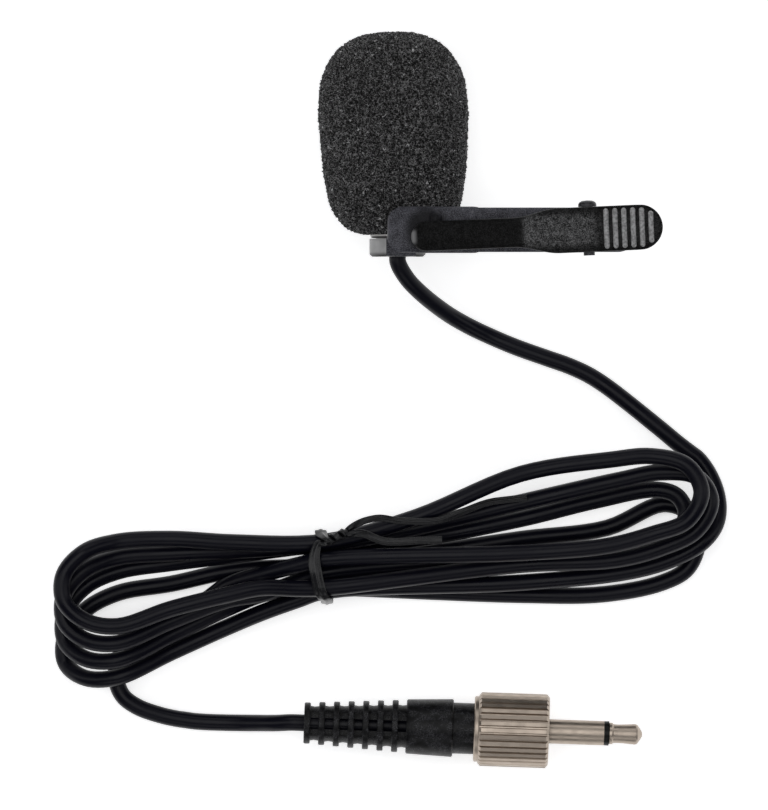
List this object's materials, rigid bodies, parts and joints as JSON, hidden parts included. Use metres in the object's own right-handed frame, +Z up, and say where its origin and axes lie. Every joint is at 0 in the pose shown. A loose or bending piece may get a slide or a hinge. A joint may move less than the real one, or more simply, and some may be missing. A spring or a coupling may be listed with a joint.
{
  "type": "lavalier microphone",
  "caption": "Lapel microphone with foam windscreen and swivel clip, its cable tied in a flat hank, ending in a 3.5 mm plug with a knurled locking nut.",
  "frame": {"origin": "middle of the bounding box of the microphone and clip, on the table they lie on", "axes": "+X along the clip towards its thumb pad, +Y along the microphone away from its cable, +Z up from the table"},
  "size_m": [0.0958, 0.105, 0.0279],
  "materials": {
    "foam": "open-cell polyurethane foam",
    "nickel": "satin nickel plate",
    "head_metal": "satin anodised",
    "capsule": "bare aluminium can",
    "board": "glass-epoxy laminate",
    "felt": "thin acoustic felt",
    "rubber": "soft moulded rubber",
    "jaw_plastic": "fine spark-textured moulding",
    "lever_plastic": "satin moulding",
    "spring_steel": "drawn spring wire",
    "pin_metal": "blackened steel",
    "pvc": "smooth flexible PVC jacket",
    "tie_pvc": "ribbon PVC over a soft wire",
    "boot_pvc": "soft moulded PVC",
    "insulator": "moulded nylon",
    "wire_red": "insulated wire",
    "wire_bare": "bare copper strands"
  },
  "bodies": {
    "microphone": {"mic_housing": "head_metal", "cable_bush": "rubber", "capsule_can": "capsule", "capsule_sleeve": "rubber", "circuit_board": "board", "front_felt": "felt", "grille_cap": "head_metal", "signal_wire": "wire_red", "shield_wire": "wire_bare", "cord_lead": "pvc", "cord_hank": "pvc", "cord_tail": "pvc", "twist_tie": "tie_pvc", "strain_boot": "boot_pvc", "cable_end": "pvc", "plug_body": "boot_pvc", "jack_sleeve": "nickel", "jack_insulator": "insulator", "jack_tip": "nickel", "sleeve_lug": "nickel", "tip_lug": "nickel", "tip_wire": "wire_red"},
    "windscreen": {"windscreen": "foam"},
    "clip": {"rear_jaw": "jaw_plastic", "pivot_pin": "pin_metal", "torsion_spring": "spring_steel"},
    "lever": {"front_lever": "lever_plastic"},
    "collar": {"nut_collar": "nickel"},
    "nut": {"locking_nut": "nickel"}
  },
  "joints": [
    {"name": "windscreen_pull", "type": "slide", "parent": "microphone", "child": "windscreen", "axis": [0, 1, 0], "range_m": [0, 0.022]},
    {"name": "clip_swivel", "type": "hinge", "parent": "microphone", "child": "clip", "pos_m": [-0.01311, -0.0147, 0.0107], "axis": [0, -1, 0], "continuous": true},
    {"name": "lever_pivot", "type": "hinge", "parent": "clip", "child": "lever", "pos_m": [0.01389, -0.0123, 0.0237], "axis": [-0.0419, 0.9991, 0], "range_deg": [0, 20], "stiffness_Nm_per_rad": 0.02, "springref_deg": -85.94, "deforming": ["torsion_spring"]},
    {"name": "nut_slide", "type": "slide", "parent": "microphone", "child": "collar", "axis": [0.9994, -0.0346, 0], "range_m": [-0.0024, 0]},
    {"name": "nut_spin", "type": "hinge", "parent": "collar", "child": "nut", "pos_m": [-0.00048, -0.08347, 0.0053], "axis": [0.9994, -0.0346, 0], "continuous": true}
  ]
}
